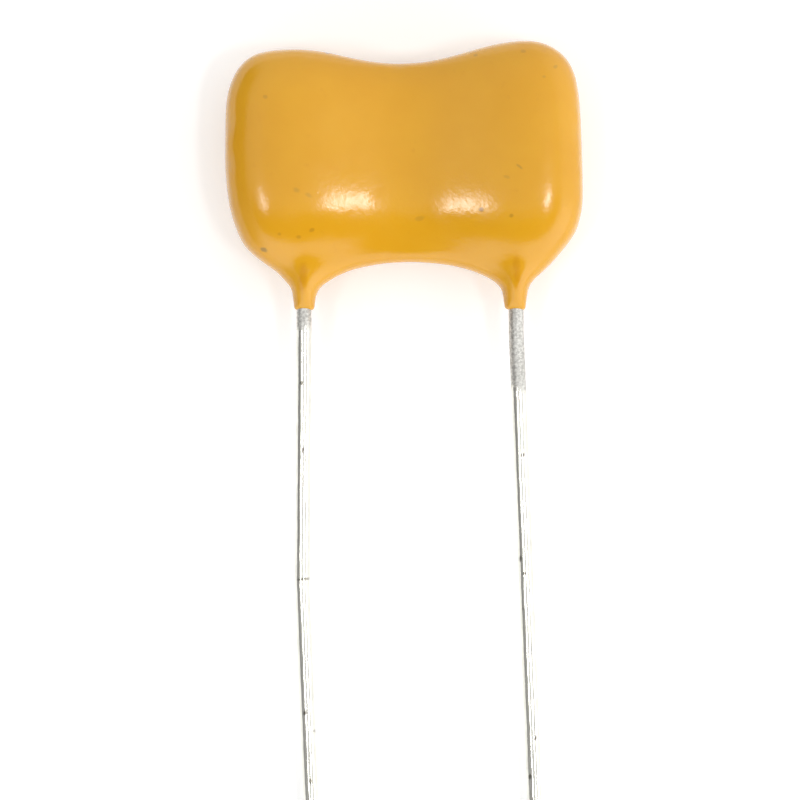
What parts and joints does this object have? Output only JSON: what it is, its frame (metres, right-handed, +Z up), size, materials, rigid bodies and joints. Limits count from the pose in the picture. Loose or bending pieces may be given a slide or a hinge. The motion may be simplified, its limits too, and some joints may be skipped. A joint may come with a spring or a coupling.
{
  "type": "mica capacitor",
  "caption": "Dipped mica capacitor: glossy mustard-yellow dog-bone body with long bare radial wire leads, lying flat on its back.",
  "frame": {"origin": "on the surface it lies on, under the middle of its bounding box", "axes": "+Z up, out of the body's front face; +Y from the lead tips to the body's top edge, along the part's length; +X from the left lead to the right lead, seen from the front"},
  "size_m": [0.0188, 0.0458, 0.0053],
  "materials": {
    "coating": "glossy dipped epoxy",
    "tinned_wire": "tinned, bright and slightly uneven",
    "brass": "bright formed strip",
    "solder": "bright fillet",
    "bare_mica": "smooth, brown tint",
    "silvered_mica": "satin fired silver",
    "foil": "soft satin foil"
  },
  "bodies": {
    "root": {"coating": "coating", "lead_left": "tinned_wire", "lead_right": "tinned_wire", "clip_left": "brass", "clip_right": "brass", "solder_left": "solder", "solder_right": "solder", "mica_cover_front": "bare_mica", "mica_cover_back": "bare_mica", "mica_plate_01": "silvered_mica", "mica_plate_02": "silvered_mica", "mica_plate_03": "silvered_mica", "mica_plate_04": "silvered_mica", "mica_plate_05": "silvered_mica", "mica_plate_06": "silvered_mica", "mica_plate_07": "silvered_mica", "mica_plate_08": "silvered_mica", "mica_plate_09": "silvered_mica", "mica_plate_10": "silvered_mica", "mica_plate_11": "silvered_mica", "mica_plate_12": "silvered_mica", "mica_plate_13": "silvered_mica", "foil_left_1": "foil", "foil_left_2": "foil", "foil_left_3": "foil", "foil_left_4": "foil", "foil_left_5": "foil", "foil_left_6": "foil", "foil_left_7": "foil", "foil_right_1": "foil", "foil_right_2": "foil", "foil_right_3": "foil", "foil_right_4": "foil", "foil_right_5": "foil", "foil_right_6": "foil", "foil_right_7": "foil"}
  },
  "joints": []
}
